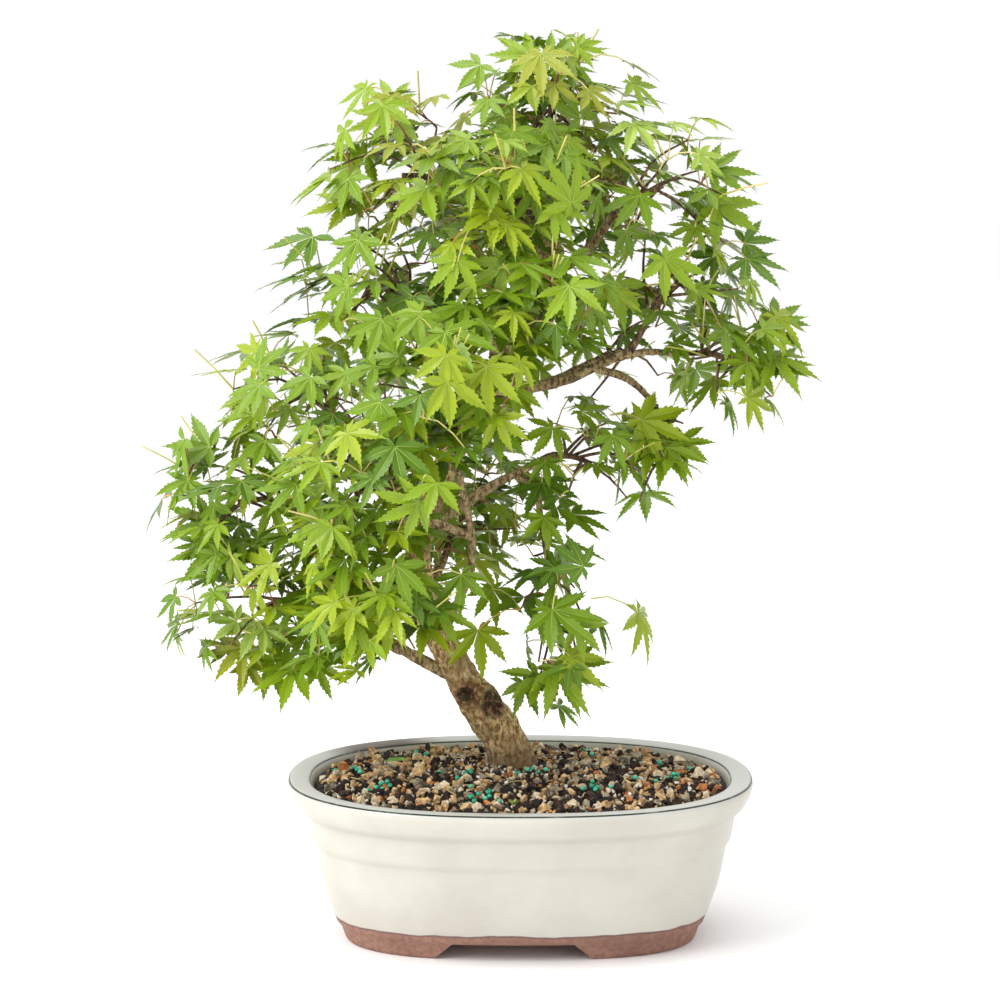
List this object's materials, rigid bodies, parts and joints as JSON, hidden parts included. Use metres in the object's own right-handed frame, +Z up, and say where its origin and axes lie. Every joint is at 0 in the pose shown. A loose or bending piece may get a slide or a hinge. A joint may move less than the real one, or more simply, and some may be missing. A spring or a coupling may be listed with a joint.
{
  "type": "japanese maple bonsai in an oval pot",
  "caption": "Japanese maple bonsai in summer leaf: an S-curved trunk with a flared foot and layered boughs, in an oval cream-glazed pot with a rolled rim and a footed base.",
  "frame": {"origin": "on the surface the pot stands on, under the middle of the whole plant's bounding box", "axes": "+Z up, -Y to the front that the picture shows, +X to the right seen from the front"},
  "size_m": [0.4446, 0.2846, 0.6093],
  "materials": {
    "glaze": "semi-gloss cream glaze",
    "soil": "loose matt granules",
    "gauze": "matt",
    "bark": "olive-tan bark",
    "foliage": "satin green leaves"
  },
  "bodies": {
    "root": {"pot": "glaze", "soil": "soil", "drain_gauze_left": "gauze", "drain_gauze_right": "gauze", "trunk": "bark", "lower_left_bough": "bark", "left_low_bough": "bark", "front_left_bough": "bark", "back_low_bough": "bark", "front_stem": "bark", "front_left_stem": "bark", "left_bough": "bark", "back_left_bough": "bark", "lower_right_bough": "bark", "hanging_bough": "bark", "back_bough": "bark", "left_shoulder_bough": "bark", "right_bough": "bark", "right_tip_bough": "bark", "right_drop_bough": "bark", "back_right_bough": "bark", "upper_right_bough": "bark", "upper_left_bough": "bark", "apex": "foliage", "upper_left": "foliage", "upper_right": "foliage", "upper_front": "foliage", "upper_back": "foliage", "left_shoulder": "foliage", "right_shoulder": "foliage", "right_tip": "foliage", "right_drop": "foliage", "upper_middle": "foliage", "middle_front": "foliage", "left_middle": "foliage", "left_front": "foliage", "left_low": "foliage", "lower_left": "foliage", "lower_front": "foliage", "lower_right": "foliage", "hanging_right": "foliage", "back_left": "foliage", "back_middle": "foliage", "back_right": "foliage", "back_low": "foliage"}
  },
  "joints": []
}
